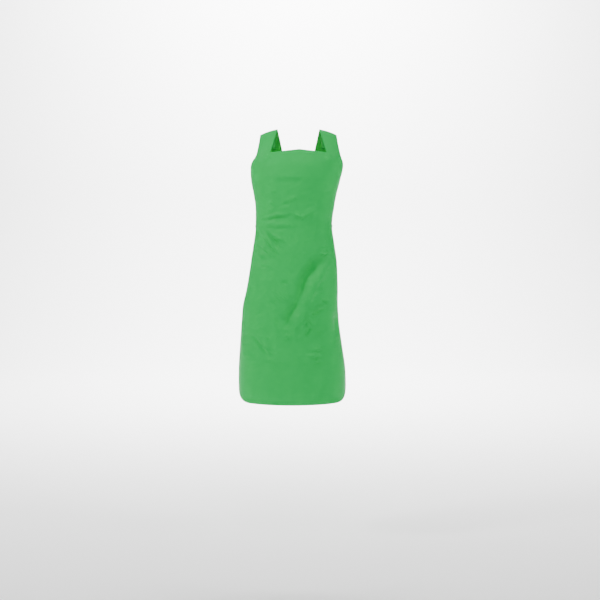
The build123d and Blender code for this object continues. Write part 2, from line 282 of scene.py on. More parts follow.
def strap_edges(side, v, margin):
    """Inner and outer edge of a shoulder strap at distances v, as distances across the cloth."""
    ends = path_points(side, -margin, [margin - TONGUE_HALF, TONGUE_HALF - margin], 0.0)
    corners = [(side * end[0], end[2]) for end in ends]
    inner_line = [(corners[0][1], corners[0][0] - margin)] + TONGUE_INNER
    outer_line = [(corners[1][1], corners[1][0] + margin)] + TONGUE_OUTER
    inner = np.full(len(v), NECK_HALF_TOP)
    outer = reach_at(v, margin)
    for _ in range(5):
        z = surface(v, side * inner)[:, 2]
        front = NECK_HALF_TOP + (NECK_HALF_BOTTOM - NECK_HALF_TOP) * (z / NECK_CORNER_Z).clip(0, 1)
        back = np.interp(z, *zip(*inner_line))
        x = np.where(v < V_TOP, front, back) + margin
        inner = abs(s_of_x(v, side * x))
    z = surface(v, side * outer)[:, 2]
    limit = abs(s_of_x(v, side * (np.interp(z, *zip(*outer_line)) - margin)))
    outer = np.where(v < V_TOP, outer, np.minimum(outer, limit))
    return inner, outer, corners


def panel_net(step, margin=0.0):
    """Pattern places (v, s) and cells of the whole panel, its edges moved in by margin."""
    corner_v = float(v_front(NECK_CORNER_Z - margin))
    half_count = int(SIDE_REACH / step)
    inner_count = int(half_count * INNER_SHARE)
    outer_count = half_count - inner_count
    radius = HEM_CORNER - margin
    bend = np.linspace(0, math.pi / 2, int(radius * math.pi / 2 / step) + 1)
    v_rows = margin + radius * (1 - np.cos(bend))
    rest = np.linspace(v_rows[-1], corner_v, int((corner_v - v_rows[-1]) / step) + 1)
    v_rows = np.concatenate([v_rows, rest[1:]])
    reach = reach_at(v_rows, margin)
    corner_s = {}
    for name, side in SIDES:
        corner_s[side] = abs(s_of_x(np.array([corner_v]), side * (NECK_HALF_BOTTOM + margin)))[0]
    mean_corner = (corner_s[1] + corner_s[-1]) / 2
    near_neck = ease((v_rows - (corner_v - 0.25)) / 0.25)
    share = inner_count / half_count * (1 - near_neck) + mean_corner / reach[-1] * near_neck
    columns = np.arange(-half_count, half_count + 1)
    inside = np.minimum(abs(columns), inner_count) / inner_count
    outside = (abs(columns) - inner_count).clip(0) / outer_count
    s = np.sign(columns) * reach[:, None] * (share[:, None] * inside + (1 - share[:, None]) * outside)
    v = np.repeat(v_rows[:, None], len(columns), axis=1)
    top_x = surface(v[-1], s[-1])[:, 0]
    sides = [-NECK_HALF_BOTTOM, NECK_PEAK[0], NECK_HALF_BOTTOM]
    neck_z = np.interp(top_x, sides, [NECK_CORNER_Z, NECK_PEAK[1], NECK_CORNER_Z]) - margin
    rise = np.where(abs(columns) <= inner_count, v_front(neck_z) - corner_v, 0)
    v = v + rise * ease((v - (corner_v - 0.07)) / 0.07)
    places = [np.stack([v.ravel(), s.ravel()], axis=1)]
    index = np.arange(v.size).reshape(v.shape)
    cells = [quads(index)]
    count = v.size
    for name, side in SIDES:
        first = index[-1, half_count + inner_count:] if side > 0 else index[-1, :outer_count + 1]
        _, _, ends = strap_edges(side, np.array([corner_v]), margin)
        length = float(v_back(ends[1][1])) - corner_v
        t = np.linspace(0, 1, int(length / step) + 1)
        v_inner = corner_v + t * (float(v_back(ends[0][1])) - corner_v)
        v_outer = corner_v + t * length
        s_inner = strap_edges(side, v_inner, margin)[0]
        s_outer = strap_edges(side, v_outer, margin)[1]
        s_outer[-1] = abs(s_of_x(v_outer[-1:], side * ends[1][0]))[0]
        c = np.linspace(0, 1, outer_count + 1)
        strap_v = v_inner[1:, None] * (1 - c) + v_outer[1:, None] * c
        strap_s = side * (s_inner[1:, None] * (1 - c) + s_outer[1:, None] * c)
        if side < 0:
            strap_v, strap_s = strap_v[:, ::-1], strap_s[:, ::-1]
        places.append(np.stack([strap_v.ravel(), strap_s.ravel()], axis=1))
        grid = np.vstack([first, count + np.arange(strap_v.size).reshape(strap_v.shape)])
        cells.append(quads(grid))
        count += strap_v.size
    return np.vstack(places), np.vstack(cells)


def quads(index):
    """Cells of a grid of point numbers, turned to face away from the wearer."""
    return np.stack(
        [index[:-1, :-1], index[:-1, 1:], index[1:, 1:], index[1:, :-1]], axis=-1
    ).reshape(-1, 4)


def point_normals(points, cells):
    """Averaged normals of the points of a net."""
    a, b, c, d = (points[cells[:, k]] for k in range(4))
    facing = np.cross(c - a, d - b)
    normals = np.zeros_like(points)
    for k in range(4):
        np.add.at(normals, cells[:, k], facing)
    return normals / np.linalg.norm(normals, axis=1)[:, None].clip(1e-12)


def rim_of(cells):
    """The border of a net as directed point pairs."""
    pairs = np.concatenate([cells[:, [k, (k + 1) % 4]] for k in range(4)])
    known = set(map(tuple, pairs))
    return np.array([p for p in map(tuple, pairs) if (p[1], p[0]) not in known])


# ---- the folds that the worn cloth shows ----
# Each fold is a line of (x, z) places on the front, its width and its height.  A ridge is higher
# than the cloth round it, a valley is lower (negative), and a lap has a high and a low side.
Fold = namedtuple("Fold", "points width height lap", defaults=(False,))
FOLDS = [
    Fold([(-0.107, -0.269), (-0.088, -0.300)], 0.009, 0.0032),
    Fold([(-0.100, -0.228), (-0.092, -0.246)], 0.010, 0.0022),
    Fold([(-0.040, -0.272), (-0.001, -0.257)], 0.008, 0.0028),
    Fold([(-0.060, -0.290), (-0.030, -0.283)], 0.009, -0.0018),
    Fold([(-0.107, -0.203), (-0.030, -0.199), (0.038, -0.204)], 0.014, -0.0020),
    Fold([(-0.115, -0.185), (-0.050, -0.183), (0.010, -0.186)], 0.013, 0.0012),
    Fold([(-0.130, -0.343), (-0.085, -0.330), (-0.044, -0.329)], 0.008, 0.0040, True),
    Fold([(-0.023, -0.322), (0.010, -0.340), (0.040, -0.321)], 0.008, 0.0036, True),
    Fold([(0.040, -0.321), (0.075, -0.300)], 0.010, 0.0018),
    Fold([(-0.143, -0.365), (-0.080, -0.369), (-0.018, -0.370)], 0.011, 0.0034, True),
    Fold([(-0.125, -0.312), (-0.085, -0.306)], 0.009, 0.0016),
    Fold([(-0.146, -0.390), (-0.107, -0.434), (-0.072, -0.487)], 0.0075, 0.0046, True),
    Fold([(-0.103, -0.404), (-0.052, -0.432)], 0.0080, 0.0036, True),
    Fold([(-0.156, -0.432), (-0.124, -0.456), (-0.085, -0.494)], 0.0080, 0.0040, True),
    Fold([(-0.130, -0.386), (-0.098, -0.418), (-0.064, -0.462)], 0.0070, -0.0026),
    Fold([(-0.158, -0.470), (-0.130, -0.490)], 0.009, 0.0022),
    Fold([(-0.157, -0.516), (-0.101, -0.529)], 0.012, 0.0036, True),
    Fold([(0.104, -0.482), (0.066, -0.515), (0.027, -0.565), (0.010, -0.621), (-0.004, -0.668)],
         0.018, -0.0095),
    Fold([(0.124, -0.496), (0.094, -0.541), (0.060, -0.592), (0.040, -0.645), (0.024, -0.700)],
         0.014, 0.0052),
    Fold([(-0.002, -0.655), (-0.022, -0.690), (-0.040, -0.727), (-0.035, -0.771)], 0.015, -0.0075),
    Fold([(0.022, -0.690), (0.004, -0.726), (-0.006, -0.770)], 0.014, 0.0045),
    Fold([(-0.030, -0.790), (-0.052, -0.786)], 0.010, 0.0030),
    Fold([(-0.080, -0.700), (-0.062, -0.740), (-0.040, -0.768)], 0.016, -0.0042),
    Fold([(0.080, -0.480), (0.116, -0.469)], 0.0075, 0.0044, True),
    Fold([(0.088, -0.440), (0.108, -0.425)], 0.010, 0.0018),
    Fold([(-0.070, -0.585), (-0.038, -0.585)], 0.008, -0.0024),
    Fold([(-0.092, -0.620), (-0.046, -0.661)], 0.008, 0.0030, True),
    Fold([(-0.066, -0.612), (-0.020, -0.640)], 0.010, 0.0018),
    Fold([(-0.112, -0.655), (-0.084, -0.668)], 0.009, -0.0020),
    Fold([(0.090, -0.650), (0.118, -0.664)], 0.007, -0.0030),
    Fold([(0.046, -0.707), (0.090, -0.688)], 0.0075, -0.0036),
    Fold([(0.050, -0.690), (0.100, -0.670)], 0.008, 0.0026),
    Fold([(0.064, -0.620), (0.090, -0.606)], 0.008, 0.0020),
    Fold([(0.008, -0.750), (0.029, -0.737), (0.047, -0.753)], 0.0065, 0.0040, True),
    Fold([(0.047, -0.753), (0.036, -0.772), (0.022, -0.790)], 0.0070, -0.0034),
    Fold([(0.066, -0.768), (0.092, -0.770)], 0.008, -0.0022),
    Fold([(-0.178, -0.789), (-0.157, -0.809), (-0.138, -0.835), (-0.106, -0.872)], 0.0075, -0.0036),
    Fold([(-0.130, -0.800), (-0.112, -0.822)], 0.010, 0.0014),
    Fold([(0.058, -0.843), (0.092, -0.839)], 0.0060, 0.0034, True),
    Fold([(0.036, -0.865), (0.078, -0.864)], 0.0060, 0.0038, True),
    Fold([(0.058, -0.887), (0.084, -0.885)], 0.0060, 0.0030, True),
    Fold([(-0.118, -0.834), (-0.094, -0.837)], 0.009, -0.0016),
    Fold([(-0.116, -0.882), (-0.094, -0.884)], 0.009, 0.0016, True),
    Fold([(-0.102, -0.902), (-0.050, -0.898)], 0.011, -0.0016),
    Fold([(0.020, -0.960), (0.060, -0.930), (0.110, -0.900)], 0.045, -0.0040),
    Fold([(0.150, -0.700), (0.152, -0.800)], 0.016, -0.0050),
    Fold([(-0.010, -0.095), (0.004, -0.082), (0.020, -0.092)], 0.010, 0.0014),
    Fold([(0.104, -0.100), (0.128, -0.128)], 0.010, 0.0020),
    Fold([(-0.106, -0.100), (-0.132, -0.122)], 0.010, 0.0018),
]


def fold_height(x, z, fold):
    """How far one fold lifts the cloth at the places x, z."""
    points = np.array(fold.points)
    lengths = np.linalg.norm(np.diff(points, axis=0), axis=1)
    total, done = lengths.sum(), 0.0
    best, along, signed = np.full(len(x), 9.0), np.zeros(len(x)), np.zeros(len(x))
    for start, end, length in zip(points[:-1], points[1:], lengths):
        way = (end - start) / length
        t = ((x - start[0]) * way[0] + (z - start[1]) * way[1]).clip(0, length)
        dx, dz = x - start[0] - t * way[0], z - start[1] - t * way[1]
        away = np.hypot(dx, dz)
        near = away < best
        best = np.where(near, away, best)
        along = np.where(near, (done + t) / total, along)
        signed = np.where(near, np.sign(way[0] * dz - way[1] * dx) * away, signed)
        done += length
    taper = ease(along / 0.35) * ease((1 - along) / 0.35) * 0.75 + 0.25
    bell = np.exp(-((best / fold.width) ** 2))
    if not fold.lap:
        return fold.height * taper * bell
    turn = math.copysign(1.0, points[-1][0] - points[0][0])
    return fold.height * taper * bell * (1.0 + 2.2 * turn * signed / fold.width) * 0.55


def waves(x, z, seed, count, shortest, longest):
    """Gentle uneven waves, the same at every run."""
    pick = np.random.default_rng(seed)
    total = np.zeros(len(x))
    for _ in range(count):
        length = pick.uniform(shortest, longest)
        turn, start = pick.uniform(0, math.pi), pick.uniform(0, 2 * math.pi)
        phase = (x * math.cos(turn) + z * math.sin(turn)) * 2 * math.pi / length + start
        total += np.sin(phase + 0.7 * np.sin(phase * 0.37 + turn * 5)) / count
    return total


def relief(points, depth):
    """How far folds and crumples lift the cloth; the sides and straps stay almost smooth."""
    x, y, z = points.T
    front = ease((0.015 - y) / 0.06) * ease((-0.075 - z) / 0.03)
    total = sum(fold_height(x, z, fold) for fold in FOLDS)
    crumple = sum(height * waves(x, z, *kind) for height, *kind in CRUMPLES)
    busy = 0.35 + 0.65 * ease((-0.17 - z) / 0.08) * ease((z + 0.98) / 0.16)
    return front * depth * (FOLD_GAIN * total + crumple * busy)


Panel = namedtuple("Panel", "points normals cells places inset area")


def make_panel(step, depth):
    """The worn panel's inner face with its folds, and how far each point lies from its edge."""
    places, cells = panel_net(step)
    smooth = surface(places[:, 0], places[:, 1])
    normals = point_normals(smooth, cells)
    points = smooth + normals * relief(smooth, depth)[:, None]
    inset = edge_distance(smooth, np.unique(rim_of(cells)))
    area = cell_area(smooth, cells)
    return Panel(points, point_normals(points, cells), cells, places, inset, area)


# ---- mesh helpers ----
def stand(name, data):
    """A new object of the scene that shows data."""
    made = bpy.data.objects.new(name, data)
    bpy.context.scene.collection.objects.link(made)
    return made


def tube_faces(start, rings, count):
    """Faces of a tube of rings with count points each, closed at both ends."""
    faces = []
    for row in range(rings - 1):
        for k in range(count):
            a, b = start + row * count + k, start + row * count + (k + 1) % count
            faces.append((a, b, b + count, a + count))
    faces.append(tuple(range(start + count - 1, start - 1, -1)))
    end = start + (rings - 1) * count
    faces.append(tuple(range(end, end + count)))
    return faces


def piece(name, points, faces, material, body, replaces=(), uv=None):
    """A mesh object that rides on a body and takes one material."""
    mesh = bpy.data.meshes.new(name)
    mesh.from_pydata([tuple(p) for p in points], [], [tuple(int(k) for k in f) for f in faces])
    mesh.validate()
    mesh.polygons.foreach_set("use_smooth", [True] * len(mesh.polygons))
    if uv is not None:
        layer = mesh.uv_layers.new(name="pattern")
        corners = np.zeros(len(mesh.loops), int)
        mesh.loops.foreach_get("vertex_index", corners)
        layer.data.foreach_set("uv", np.asarray(uv, float)[corners].ravel())
    mesh.materials.append(material)
    made = stand(name, mesh)
    if body:
        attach(made, body)
    if replaces:
        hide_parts(*replaces)
    return made


def layer_faces(cells, count):
    """Faces of a closed layer from a net: outer side, inner side and a rounded rim between."""
    rim = rim_of(cells)
    border = np.unique(rim)
    middle = {int(p): 2 * count + k for k, p in enumerate(border)}
    faces = [tuple(c) for c in cells] + [tuple(count + c[::-1]) for c in cells]
    for a, b in rim:
        a, b = int(a), int(b)
        faces.append((b, a, middle[a], middle[b]))
        faces.append((middle[b], middle[a], count + a, count + b))
    return faces, rim, border


def rim_outward(points, normals, rim):
    """The way out of the cloth at each border point."""
    way = np.zeros_like(points)
    for a, b in rim:
        out = np.cross(points[b] - points[a], (normals[a] + normals[b]) / 2)
        way[a] += out
        way[b] += out
    return way / np.linalg.norm(way, axis=1)[:, None].clip(1e-12)


def layer_points(points, normals, low, high, rim, border, bulge):
    """Points of a closed layer between two heights over the inner face."""
    outward = rim_outward(points, normals, rim)
    low, high = (np.broadcast_to(np.asarray(d, float), len(points)) for d in (low, high))
    middle = (points + normals * ((low + high) / 2)[:, None] + outward * bulge)[border]
    return np.vstack([points + normals * high[:, None], points + normals * low[:, None], middle])


def edge_distance(points, border):
    """Distance from every point to the nearest border point."""
    nearest = np.full(len(points), 9.0)
    for start in range(0, len(border), 64):
        part = points[border[start:start + 64]]
        nearest = np.minimum(nearest, np.linalg.norm(points[:, None] - part[None], axis=2).min(axis=1))
    return nearest


def cell_area(points, cells):
    """Area of a net of cells."""
    a, b, c, d = (points[cells[:, k]] for k in range(4))
    return float(np.linalg.norm(np.cross(c - a, d - b), axis=1).sum() / 2)


def cloth_layer(name, panel, low, high, material, replaces, turned=False, margin=0.0, bulge=0.0003):
    """One closed sheet of the panel."""
    kept = panel.inset >= margin
    cells = panel.cells[kept[panel.cells].all(axis=1)]
    used = np.unique(cells)
    renumber = np.zeros(len(kept), int)
    renumber[used] = np.arange(len(used))
    cells = renumber[cells]
    points, normals, places = panel.points[used], panel.normals[used], panel.places[used]
    faces, rim, border = layer_faces(cells, len(points))
    if turned:
        inner = ease((panel.inset - 0.002) / (TURNED_EDGE - 0.003))
        low = (LINING + SEWN_GAP) * (1 - inner) + low * inner
    solid = layer_points(points, normals, low, high, rim, border, bulge)
    pattern = np.vstack([places[:, ::-1], places[:, ::-1], places[border][:, ::-1]])
    made = piece(name, solid, faces, material, "apron", replaces, pattern)
    return made, cell_area(surface(places[:, 0], places[:, 1]), cells)


# ---- stitches ----
def along_line(spots, run, values):
    """Values at distances spots along a line whose points lie at distances run."""
    return np.stack([np.interp(spots, run, values[:, k]) for k in range(3)], axis=1)


def stitch_mesh(lines, radius=0.00035, length=0.0031, pitch=0.0042):
    """Short rounded stitches along lines of points and normals."""
    points, faces = [], []
    turns = np.linspace(0, 2 * math.pi, THREAD_SIDES + 1)[:-1]
    rings = ((-0.5, 0.25), (-0.36, 0.85), (0.0, 1.0), (0.36, 0.85), (0.5, 0.25))
    for line, normals in lines:
        line, normals = np.asarray(line), np.asarray(normals)
        run = np.concatenate([[0.0], np.cumsum(np.linalg.norm(np.diff(line, axis=0), axis=1))])
        count = max(1, int(run[-1] / pitch))
        spots = (np.arange(count) + 0.5) * run[-1] / count
        centre, up = along_line(spots, run, line), along_line(spots, run, normals)
        span = along_line(spots + length / 2, run, line) - along_line(spots - length / 2, run, line)
        way = span / np.linalg.norm(span, axis=1)[:, None].clip(1e-9)
        side = np.cross(way, up)
        for c, w, n, o in zip(centre, way, up, side):
            start = len(points)
            for share, wide in rings:
                for turn in turns:
                    around = o * math.cos(turn) + n * 0.7 * math.sin(turn)
                    points.append(c + w * share * length + around * radius * wide)
            faces += tube_faces(start, len(rings), THREAD_SIDES)
    return points, faces


def sew(name, lines, thread, body):
    """Makes the stitches along lines as one piece."""
    points, faces = stitch_mesh(lines)
    return piece(name, points, faces, thread, body)


def ordered_rim(cells):
    """The border points of a net in the order that they follow each other."""
    following = dict(map(tuple, rim_of(cells)))
    first = min(following)
    order, at = [first], following[first]
    while at != first:
        order.append(at)
        at = following[at]
    return np.array(order)


def smooth_line(line, rounds):
    """A closed line of points, evened out."""
    for _ in range(rounds):
        line = line * 0.5 + (np.roll(line, 1, axis=0) + np.roll(line, -1, axis=0)) * 0.25
    return line


def edge_lines(panel, inset, lift):
    """Closed stitch lines that follow the panel's edge at a distance from it."""
    order = ordered_rim(panel.cells)
    rim = np.stack([order, np.roll(order, -1)], axis=1)
    outward = rim_outward(panel.points, panel.normals, rim)
    base, normals, out = panel.points[order], panel.normals[order], outward[order]
    out = smooth_line(out, 3)
    line = smooth_line(base - out * inset, 2)
    nearest = []
    for start in range(0, len(line), 200):
        gap = np.linalg.norm(panel.points[None] - line[start:start + 200][:, None], axis=2)
        nearest.append(gap.argmin(axis=1))
    nearest = np.concatenate(nearest)
    facing = panel.normals[nearest]
    height = np.einsum("ij,ij->i", panel.points[nearest] - line, facing)
    line = line + facing * (height + lift)[:, None]
    closed = np.vstack([line, line[:1]])
    return closed, np.vstack([facing, facing[:1]])


# ---- webbing ----
def path_points(side, a, b, lift):
    """Points of the back: a along the strap's path, b across it and lift off the body."""
    a, b, lift = np.broadcast_arrays(*(np.atleast_1d(np.asarray(k, float)) for k in (a, b, lift)))
    q = PATH_START[0] + a * PATH_RUN[0] + b * PATH_ACROSS[0]
    z = PATH_START[1] + a * PATH_RUN[1] + b * PATH_ACROSS[1]
    return form(v_back(z), side * q, lift)


def unit(vector):
    return vector / np.linalg.norm(vector)


def path_axes(side, a, lift):
    """The directions along the path, across it and away from the body."""
    step = 0.001
    out = path_points(side, a, 0, lift + step)[0] - path_points(side, a, 0, lift)[0]
    along = unit(path_points(side, a + step, 0, lift)[0] - path_points(side, a - step, 0, lift)[0])
    across = unit(np.cross(out, along))
    return along, across, unit(np.cross(along, across))


LANES = np.linspace(-1, 1, 9)


def laid(side, a, lift, outward=1):
    """A section that lies on the body's curve; outward -1 turns its outer side to the wearer."""
    centre = path_points(side, a, 0, lift)[0]
    along, across, out = path_axes(side, a, lift)
    falls = []
    for lane in LANES:
        slip = 0.0
        for _ in range(2):
            edge = path_points(side, a + slip, -side * lane * WEB_WIDTH / 2, lift)[0] - centre
            slip -= edge @ along
        falls.append(outward * (edge @ out))
    return centre, across, out * outward, np.array(falls)


def spaced(start, end):
    """Places from start to end, at most a section's step apart."""
    return np.linspace(start, end, max(2, int(math.ceil(abs(end - start) / SECTION_STEP)) + 1))


def turn_round(bar, axes, ahead):
    """Sections that lead a band round a bar, from its outer side to the wearer's side."""
    along, across, out = axes
    radius = RING_WIRE / 2 + BAR_PLAY + WEB / 2
    sections = []
    for angle in range(0, 181, 10):
        way = out * math.cos(math.radians(angle)) + along * (ahead * math.sin(math.radians(angle)))
        sections.append((bar + way * radius, across, way, np.zeros(len(LANES))))
    return sections


def bars(side):
    """The ring's upper and lower bar centres and the directions that it lies in."""
    axes = path_axes(side, BAR_AT, PANEL / 2)
    upper = path_points(side, BAR_AT, 0, PANEL / 2)[0]
    return upper, upper + axes[0] * RING_PITCH, axes


def lift_at(side, a):
    return float(np.interp(a, *zip(*(OVER_LIFT if side > 0 else UNDER_LIFT))))


def band(sections, width=WEB_WIDTH, thick=WEB):
    """Points, faces and pattern of a band with soft edges through its sections."""
    points, uv = [], []
    run, last = 0.0, None
    count = 2 * len(LANES) + 4
    for centre, across, out, falls in sections:
        run += 0.0 if last is None else float(np.linalg.norm(centre - last))
        last = centre
        inset = LANES * (1 - thick * 0.7 / width)
        fall = np.interp(inset, LANES, falls)
        upper = [(lane, f, 0.5) for lane, f in zip(inset, fall)]
        lower = [(lane, f, -0.5) for lane, f in zip(inset, fall)][::-1]
        ring = upper + [(1.0, falls[-1], 0.22), (1.0, falls[-1], -0.22)]
        ring += lower + [(-1.0, falls[0], -0.22), (-1.0, falls[0], 0.22)]
        for lane, f, height in ring:
            points.append(centre + across * lane * width / 2 + out * (f + height * thick))
            uv.append((lane * width / 2, run))
    return points, tube_faces(0, len(sections), count), uv


def cross_box(side, start, end, lift, half=0.0155):
    """Stitch lines of a sewn box with a cross in it, on a band from start to end."""
    corners = [(start, -half), (end, -half), (end, half), (start, half), (start, -half)]
    runs = list(zip(corners[:-1], corners[1:])) + [(corners[0], corners[2]), (corners[1], corners[3])]
    return [laid_line(side, first, last, lift) for first, last in runs]


def laid_line(side, first, last, lift):
    """A straight stitch line on the strap's path between two places (along, across)."""
    t = np.linspace(0, 1, 24)
    a = first[0] + (last[0] - first[0]) * t
    b = first[1] + (last[1] - first[1]) * t
    lifts = np.array([lift(k) for k in a])
    line = path_points(side, a, b, lifts)
    up = path_points(side, a, b, lifts + 0.001) - line
    return line, up / np.linalg.norm(up, axis=1)[:, None]


# ---- materials ----
def node_group(name, inputs, output, build):
    """A shader node group made once and used by several materials."""
    if name in bpy.data.node_groups:
        return bpy.data.node_groups[name]
    group = bpy.data.node_groups.new(name, "ShaderNodeTree")
    for label, kind, default in inputs:
        socket = group.interface.new_socket(name=label, in_out="INPUT", socket_type=kind)
        if default is not None:
            socket.default_value = default
    group.interface.new_socket(name=output[0], in_out="OUTPUT", socket_type=output[1])
    start, end = group.nodes.new("NodeGroupInput"), group.nodes.new("NodeGroupOutput")
    group.links.new(build(group, start.outputs), end.inputs[0])
    return group


def maths(tree, kind, first, second=None):
    node = tree.nodes.new("ShaderNodeMath")
    node.operation = kind
    for socket, value in zip(node.inputs, (first, second)):
        if value is None:
            continue
        if isinstance(value, (int, float)):
            socket.default_value = value
        else:
            tree.links.new(value, socket)
    return node.outputs[0]


def noise(tree, vector, scale, detail=3.0):
    node = tree.nodes.new("ShaderNodeTexNoise")
    node.inputs["Scale"].default_value = scale
    node.inputs["Detail"].default_value = detail
    tree.links.new(vector, node.inputs["Vector"])
    return node.outputs["Fac"]


def build_weave(group, given):
    """Height of crossing threads on the pattern."""
    split = group.nodes.new("ShaderNodeSeparateXYZ")
    group.links.new(given["Vector"], split.inputs[0])
    crests = []
    for axis in (0, 1):
        turn = maths(group, "MULTIPLY", split.outputs[axis], given["Threads per metre"])
        crests.append(maths(group, "SINE", maths(group, "MULTIPLY", turn, 2 * math.pi)))
    over = maths(group, "MULTIPLY", *crests)
    return maths(group, "ADD", maths(group, "MULTIPLY", over, 0.5), 0.5)


def build_cast(group, given):
    """A colour that drifts a little lighter and darker, as handled cloth does."""
    broad = noise(group, given["Vector"], 5.0, 2.0)
    fine = noise(group, given["Vector"], 90.0, 2.0)
    mix = maths(group, "ADD", maths(group, "MULTIPLY", broad, 0.7), maths(group, "MULTIPLY", fine, 0.3))
    shade = maths(group, "MULTIPLY", maths(group, "SUBTRACT", mix, 0.5), given["Amount"])
    bright = group.nodes.new("ShaderNodeHueSaturation")
    group.links.new(maths(group, "ADD", shade, 1.0), bright.inputs["Value"])
    group.links.new(given["Color"], bright.inputs["Color"])
    return bright.outputs["Color"]


def weave_group():
    inputs = [("Vector", "NodeSocketVector", None), ("Threads per metre", "NodeSocketFloat", 1500.0)]
    return node_group("Crossing threads", inputs, ("Height", "NodeSocketFloat"), build_weave)


def cast_group():
    inputs = [("Vector", "NodeSocketVector", None), ("Color", "NodeSocketColor", (1, 1, 1, 1)),
              ("Amount", "NodeSocketFloat", 0.2)]
    return node_group("Handled colour", inputs, ("Color", "NodeSocketColor"), build_cast)


def material(name, color, roughness, threads=None, bump=0.0, grain=None, metallic=0.0, sheen=0.0,
             cast=0.2, specular=0.5, uses_pattern=True):
    """A procedural finish: colour drift, thread or grain relief, and constant shine values."""
    if name in bpy.data.materials:
        return bpy.data.materials[name]
    made = bpy.data.materials.new(name)
    made.use_nodes = True
    tree = made.node_tree
    shader = tree.nodes["Principled BSDF"]
    shader.inputs["Roughness"].default_value = roughness
    shader.inputs["Metallic"].default_value = metallic
    shader.inputs["Sheen Weight"].default_value = sheen
    shader.inputs["Specular IOR Level"].default_value = specular
    place = tree.nodes.new("ShaderNodeTexCoord")
    tint = tree.nodes.new("ShaderNodeGroup")
    tint.node_tree = cast_group()
    tint.inputs["Color"].default_value = (*color, 1)
    tint.inputs["Amount"].default_value = cast
    tree.links.new(place.outputs["Object"], tint.inputs["Vector"])
    tree.links.new(tint.outputs["Color"], shader.inputs["Base Color"])
    rough = noise(tree, place.outputs["Object"], 22.0, 2.0)
    spread = maths(tree, "MULTIPLY", maths(tree, "SUBTRACT", rough, 0.5), 0.14)
    tree.links.new(maths(tree, "ADD", spread, roughness), shader.inputs["Roughness"])
    height = None
    if threads:
        weave = tree.nodes.new("ShaderNodeGroup")
        weave.node_tree = weave_group()
        weave.inputs["Threads per metre"].default_value = threads
        source = "UV" if uses_pattern else "Object"
        tree.links.new(place.outputs[source], weave.inputs["Vector"])
        height = weave.outputs["Height"]
    if grain:
        grains = noise(tree, place.outputs["Object"], grain, 4.0)
        height = grains if height is None else maths(tree, "ADD", height, grains)
    if height is not None:
        raised = tree.nodes.new("ShaderNodeBump")
        raised.inputs["Strength"].default_value = 1.0
        raised.inputs["Distance"].default_value = bump
        tree.links.new(height, raised.inputs["Height"])
        tree.links.new(raised.outputs["Normal"], shader.inputs["Normal"])
    return made


def cover_material(settings):
    return material("coated cover cloth", settings.cover_color, 0.44, threads=900, bump=0.00006,
                    grain=420.0, cast=0.12, specular=0.05)


def lining_material(settings):
    return material("lining nylon", settings.lining_color, 0.62, threads=1400, bump=0.00008, sheen=0.02,
                    specular=0.12)


def webbing_material(settings):
    return material("ribbed webbing", settings.webbing_color, 0.66, threads=420, bump=0.00035,
                    sheen=0.03, cast=0.3, specular=0.15)


def thread_material(settings):
    color = [c * 0.82 for c in settings.cover_color]
    return material("sewing thread", color, 0.5, threads=2200, bump=0.0001, uses_pattern=False, sheen=0.2)


# ---- padded shoulders ----
def patch_net(v_values, s_values):
    """Pattern places and cells of a four-sided patch; s runs across, v along."""
    v, s = np.meshgrid(v_values, s_values, indexing="ij")
    index = np.arange(v.size).reshape(v.shape)
    places = np.stack([v.ravel(), s.ravel()], axis=1)
    cells = quads(index) if s_values[-1] > s_values[0] else quads(index[:, ::-1])
    return places, cells


def patch_solid(places, cells, low, high, bulge=0.0002):
    """A closed patch between two distances from the wearer, given at each place."""
    points = surface(places[:, 0], places[:, 1])
    normals = point_normals(points, cells)
    faces, rim, border = layer_faces(cells, len(points))
    solid = layer_points(points, normals, low, high, rim, border, bulge)
    uv = np.vstack([places[:, ::-1], places[:, ::-1], places[border][:, ::-1]])
    return solid, faces, uv


def quilt_share(places):
    """1 on the sewn channels and edges of a pad, 0 between them."""
    first, last = v_front(PAD_END_Z), v_back(PAD_END_Z)
    v, s = places[:, 0], abs(places[:, 1])
    ends = np.minimum(v - first, last - v)
    sides = np.minimum(s - PAD_FROM, PAD_TO - s)
    channels = np.arange(first + QUILT_PITCH, last - 0.02, QUILT_PITCH)
    to_channel = abs(v[:, None] - channels[None]).min(axis=1)
    near = np.minimum(np.minimum(ends, sides), to_channel)
    return 1 - ease(near / QUILT_SEAM)


def shoulder_pad(name, side, finish):
    """A quilted pad whose wearer's side swells between its sewn channels."""
    first, last = float(v_front(PAD_END_Z)), float(v_back(PAD_END_Z))
    v_values = np.linspace(first, last, int((last - first) / PAD_CELL))
    s_values = side * np.linspace(PAD_FROM, PAD_TO, 19)
    places, cells = patch_net(v_values, s_values)
    held = quilt_share(places)
    outer = -SEWN_GAP
    low = outer - PAD_THIN - PAD_DIMPLE * (1 - held)
    solid, faces, uv = patch_solid(places, cells, low, np.full(len(places), outer))
    replaced = ["shoulder_pad_" + name.split("_")[-1]]
    made = piece(name, solid, faces, finish, "apron", replaced, uv)
    swell(made, len(places), held, PAD_THICK - PAD_THIN - PAD_DIMPLE)
    smoother = made.modifiers.new("softer", "SUBSURF")
    smoother.levels = smoother.render_levels = 1
    apply_modifiers(made)
    return made


STUFFING = {
    "quality": 6, "mass": 0.15, "tension_stiffness": 12, "compression_stiffness": 12,
    "shear_stiffness": 6, "bending_stiffness": 0.3, "use_pressure": True, "uniform_pressure_force": 4.0,
}


